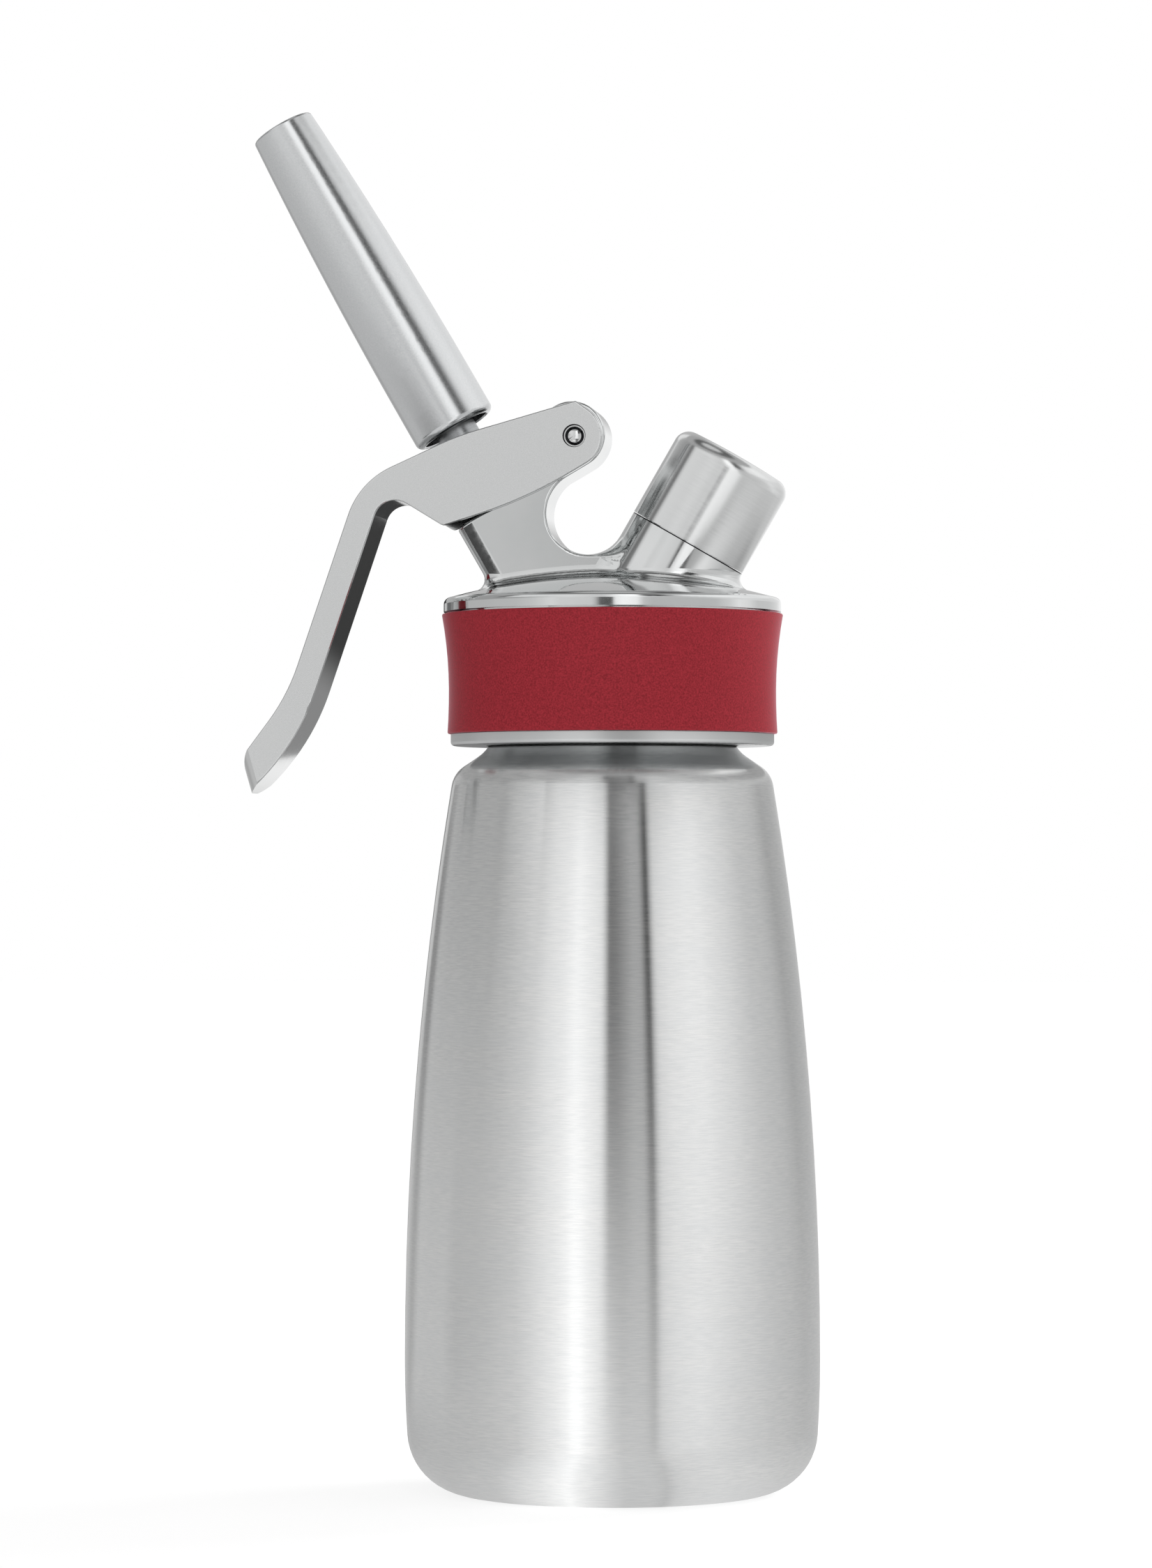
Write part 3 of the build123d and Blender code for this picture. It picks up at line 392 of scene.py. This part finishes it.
# the polished marks are finer than 0.1 mm; they are drawn 0.3 mm apart so that they show
turning = grain(tree, (5, 5, 0.3), lean=-30)
tree.links.new(spread(tree, turning, 0.14, 0.17), shader.inputs["Roughness"])
tree.links.new(tinted(tree, turning, "#D9DADA", "#DDDEDE"), shader.inputs["Base Color"])
tree.links.new(relief(tree, turning, 0.01, 0.04), shader.inputs["Normal"])
dress("protective_cap", lathe_polished)

# ---------------------------------------------------------------------------------------------
# Grip sleeve: a moulded red silicone band, stretched over the skirt and held between its rims.
# Its mould was spark-eroded, so it has a fine dull grain that turns pale where light grazes it.
# ---------------------------------------------------------------------------------------------
sleeve_foot, sleeve_waist, sleeve_top = 0.15975, 0.1685, 0.185
bore_radius, waist_radius = 0.03205, 0.0345
flare_at_top, flare_at_foot = 0.0015, 0.0003
lip_rounding = 0.00035
profile = bmesh.new()
ring_of_points = [profile.verts.new((bore_radius, 0, sleeve_foot))]
for step in range(9):
    level = sleeve_foot + (sleeve_top - sleeve_foot) * step / 8
    if level > sleeve_waist:
        flare = flare_at_top * ((level - sleeve_waist) / (sleeve_top - sleeve_waist)) ** 2
    else:
        flare = flare_at_foot * ((sleeve_waist - level) / (sleeve_waist - sleeve_foot)) ** 2
    ring_of_points.append(profile.verts.new((waist_radius + flare, 0, level)))
ring_of_points.append(profile.verts.new((bore_radius, 0, sleeve_top)))
for first, second in zip(ring_of_points, ring_of_points[1:] + ring_of_points[:1]):
    profile.edges.new((first, second))
bmesh.ops.spin(
    profile, geom=profile.verts[:] + profile.edges[:], cent=(0, 0, 0), axis=(0, 0, 1),
    angle=2 * pi, steps=160, use_merge=True,
)
bmesh.ops.remove_doubles(profile, verts=profile.verts[:], dist=1e-6)
bmesh.ops.recalc_face_normals(profile, faces=profile.faces[:])
lips = [e for e in profile.edges if e.is_manifold and e.calc_face_angle() > radians(45)]
bmesh.ops.bevel(
    profile, geom=lips, offset=lip_rounding, segments=3, profile=0.5, affect="EDGES", material=-1
)
for face in profile.faces:
    face.smooth = True
silicone = bpy.data.materials.new("spark_grained_red_silicone")
silicone.use_nodes = True
tree = silicone.node_tree
shader = tree.nodes["Principled BSDF"]
shader.inputs["IOR"].default_value = 1.41
shader.inputs["Specular IOR Level"].default_value = 0.3
shader.inputs["Sheen Weight"].default_value = 0.85
shader.inputs["Sheen Roughness"].default_value = 0.25
shader.inputs["Sheen Tint"].default_value = linear("#F0B8C4")
# the mould's grain is some 0.2 mm; it is drawn at 0.35 mm so that it shows
eroded = grain(tree, (0.35, 0.35, 0.35))
tree.links.new(spread(tree, eroded, 0.55, 0.70), shader.inputs["Roughness"])
tree.links.new(tinted(tree, eroded, "#8A1A25", "#AF2E3A"), shader.inputs["Base Color"])
tree.links.new(relief(tree, eroded, 0.05, 0.35), shader.inputs["Normal"])
sleeve = stand("silicone_sleeve", profile, silicone)
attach(sleeve, "head")
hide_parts("grip_sleeve")

# ---------------------------------------------------------------------------------------------
# Lever: investment-cast stainless. Its broad sides are linished to an even satin that takes one
# quiet tone, and its rounded edges and the inside of the handle are buffed bright.
# ---------------------------------------------------------------------------------------------
edge_start, side_start = 0.0096, 0.0098
pivot, recess_corner, painted_shade_width = (-0.0071, 0, 0.2221), 0.00233, 0.0001
satin, tree, shader = steel("linished_and_buffed_lever_steel", "#D9DADA", 0.25)
spot = add(tree, "ShaderNodeTexCoord").outputs["Object"]
sideways = add(tree, "ShaderNodeSeparateXYZ", {0: spot}).outputs["Y"]
off_middle = add(tree, "ShaderNodeMath", {0: sideways}, operation="ABSOLUTE").outputs[0]
# the belt's grit leaves a grain of some 0.1 mm; it is drawn at 0.35 mm so that it shows
linish = grain(tree, (0.35, 0.35, 0.35))
linished = spread(tree, linish, 0.2655, 0.2745)
buffed = spread(tree, grain(tree, (1.5, 1.5, 1.5)), 0.08, 0.10)
edges_and_sides = blended(tree, off_middle, buffed, linished, edge_start, side_start)
tree.links.new(edges_and_sides, shader.inputs["Roughness"])
# painted shade: a dark ring painted in the corner of the turned recess round each end of the pin, where
# shadow falls
to_pin = add(tree, "ShaderNodeVectorMath", {0: spot, 1: pivot}, operation="SUBTRACT").outputs[0]
across_pin = add(tree, "ShaderNodeVectorMath", {0: to_pin, 1: (1, 0, 1)}, operation="MULTIPLY").outputs[0]
from_pin = add(tree, "ShaderNodeVectorMath", {0: across_pin}, operation="LENGTH").outputs["Value"]
painted_shade_ring = {0: from_pin, 1: recess_corner, 2: painted_shade_width}
painted_shade = add(tree, "ShaderNodeMath", painted_shade_ring, operation="COMPARE").outputs[0]
lever_tint = between(tree, painted_shade, tinted(tree, linish, "#D8D9D9", "#DBDCDC"), linear("#2A2B2C"))
tree.links.new(lever_tint, shader.inputs["Base Color"])
tree.links.new(relief(tree, linish, 0.002, 0.05), shader.inputs["Normal"])
dress("lever", satin)

# ---------------------------------------------------------------------------------------------
# Pivot pin: ground stainless rod, pressed through the head's boss, on which the lever turns. Its
# ends are domed and buffed, so each holds one small bright point.
# ---------------------------------------------------------------------------------------------
domed, tree, shader = steel("buffed_pin_steel", "#D9DADA", 0.08)
tree.links.new(spread(tree, grain(tree, (0.5, 0.5, 0.5)), 0.05, 0.12), shader.inputs["Roughness"])
tree.links.new(relief(tree, grain(tree, (1.0, 1.0, 1.0)), 0.01, 0.1), shader.inputs["Normal"])
dress("pivot_pin", domed)

# ---------------------------------------------------------------------------------------------
# Nozzle: drawn stainless tube, bead-blasted to a fine even grain that blurs its reflections into
# soft stripes along it, with a rounded rim at its foot.
# ---------------------------------------------------------------------------------------------
blasted, tree, shader = steel("bead_blasted_nozzle_steel", "#D3D4D5", 0.2)
# each bead leaves a dent of some 0.1 mm; they are drawn at 0.3 mm so that they show
dents = grain(tree, (0.3, 0.3, 0.3))
tree.links.new(spread(tree, dents, 0.175, 0.225), shader.inputs["Roughness"])
tree.links.new(tinted(tree, dents, "#CFD1D2", "#D7D8D9"), shader.inputs["Base Color"])
tree.links.new(relief(tree, dents, 0.006, 0.25), shader.inputs["Normal"])
dress("decorating_nozzle", blasted)

# ---------------------------------------------------------------------------------------------
# Turned inner parts: the hollow stem, its nuts and bush, the gas insert and the piercing point,
# all turned from stainless bar and left with the tool's fine rings round their axes. Their grey is
# painted darker than the other steel, as painted shade for the dark bores they sit in.
# ---------------------------------------------------------------------------------------------
for name, lean, parts in (
    ("turned_stem_steel", 30, ("valve_stem", "gland_bush", "press_nut", "lock_nut")),
    ("turned_inlet_steel", -30, ("inlet_valve_body", "piercing_pin")),
):
    # the darker grey is painted shade for the bores these parts sit in
    turned, tree, shader = steel(name, "#A9ABAC", 0.30)
    rings = grain(tree, (8, 8, 0.25), lean=lean)
    tree.links.new(spread(tree, rings, 0.24, 0.36), shader.inputs["Roughness"])
    tree.links.new(tinted(tree, rings, "#9C9EA0", "#B2B4B5"), shader.inputs["Base Color"])
    tree.links.new(relief(tree, rings, 0.02, 0.3), shader.inputs["Normal"])
    for part in parts:
        dress(part, turned)

# ---------------------------------------------------------------------------------------------
# Return spring: hard-drawn stainless wire, coiled cold round the stem between the bush and the
# nut. The drawing die leaves it smooth and only faintly mottled.
# ---------------------------------------------------------------------------------------------
stem_axis = Vector((-0.5, 0, 0.8660254))
across_stem = Vector((0.8660254, 0, 0.5))
stem_crossing, seat_height = Vector((0, 0, 0.1666)), 0.0391
spring_seat = stem_crossing + seat_height * stem_axis
wire_radius, coil_radius, coil_height, coils = 0.00045, 0.0054, 0.0141, 6
coil = bmesh.new()
bmesh.ops.create_circle(coil, cap_ends=True, radius=wire_radius, segments=10)
upright_wire = Matrix((across_stem, stem_axis, across_stem.cross(stem_axis))).transposed().to_4x4()
start_of_wire = spring_seat + wire_radius * stem_axis + coil_radius * across_stem
bmesh.ops.transform(coil, verts=coil.verts[:], matrix=Matrix.Translation(start_of_wire) @ upright_wire)
steps = 32 * coils
wound = bmesh.ops.spin(
    coil, geom=coil.verts[:] + coil.edges[:], cent=spring_seat, axis=stem_axis,
    dvec=stem_axis * (coil_height - 2 * wire_radius) / steps, angle=2 * pi * coils, steps=steps,
)
end_of_wire = [v for v in wound["geom_last"] if isinstance(v, bmesh.types.BMVert)]
bmesh.ops.contextual_create(coil, geom=end_of_wire)
bmesh.ops.recalc_face_normals(coil, faces=coil.faces[:])
for face in coil.faces:
    face.smooth = len(face.verts) == 4
drawn, tree, shader = steel("hard_drawn_spring_wire", "#B9BBBC", 0.26)
die_marks = grain(tree, (0.8, 0.8, 0.8), 3.0)
tree.links.new(spread(tree, die_marks, 0.20, 0.34), shader.inputs["Roughness"])
tree.links.new(tinted(tree, die_marks, "#A8AAAC", "#C2C4C5"), shader.inputs["Base Color"])
spring = stand("coiled_spring", coil, drawn)
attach(spring, "head")
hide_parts("return_spring")
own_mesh(spring)

# ---------------------------------------------------------------------------------------------
# Seals: the head's flat ring is moulded in clear silicone that looks milky; the washers, the
# O-ring, the check sleeve and the cap's liner are cut or moulded from black nitrile rubber.
# ---------------------------------------------------------------------------------------------
for name, dark, light, parts in (
    ("milky_silicone", "#C4C4BE", "#D6D6D0", ("head_gasket",)),
    (
        "black_nitrile_rubber", "#161617", "#262627",
        ("stem_seat_seal", "stem_o_ring", "nozzle_seal", "check_sleeve", "charger_seal", "cap_seal"),
    ),
):
    moulded = bpy.data.materials.new(name)
    moulded.use_nodes = True
    tree = moulded.node_tree
    shader = tree.nodes["Principled BSDF"]
    skin = grain(tree, (0.4, 0.4, 0.4), 3.0)
    tree.links.new(spread(tree, skin, 0.45, 0.65), shader.inputs["Roughness"])
    tree.links.new(tinted(tree, skin, dark, light), shader.inputs["Base Color"])
    tree.links.new(relief(tree, skin, 0.03, 0.2), shader.inputs["Normal"])
    for part in parts:
        dress(part, moulded)
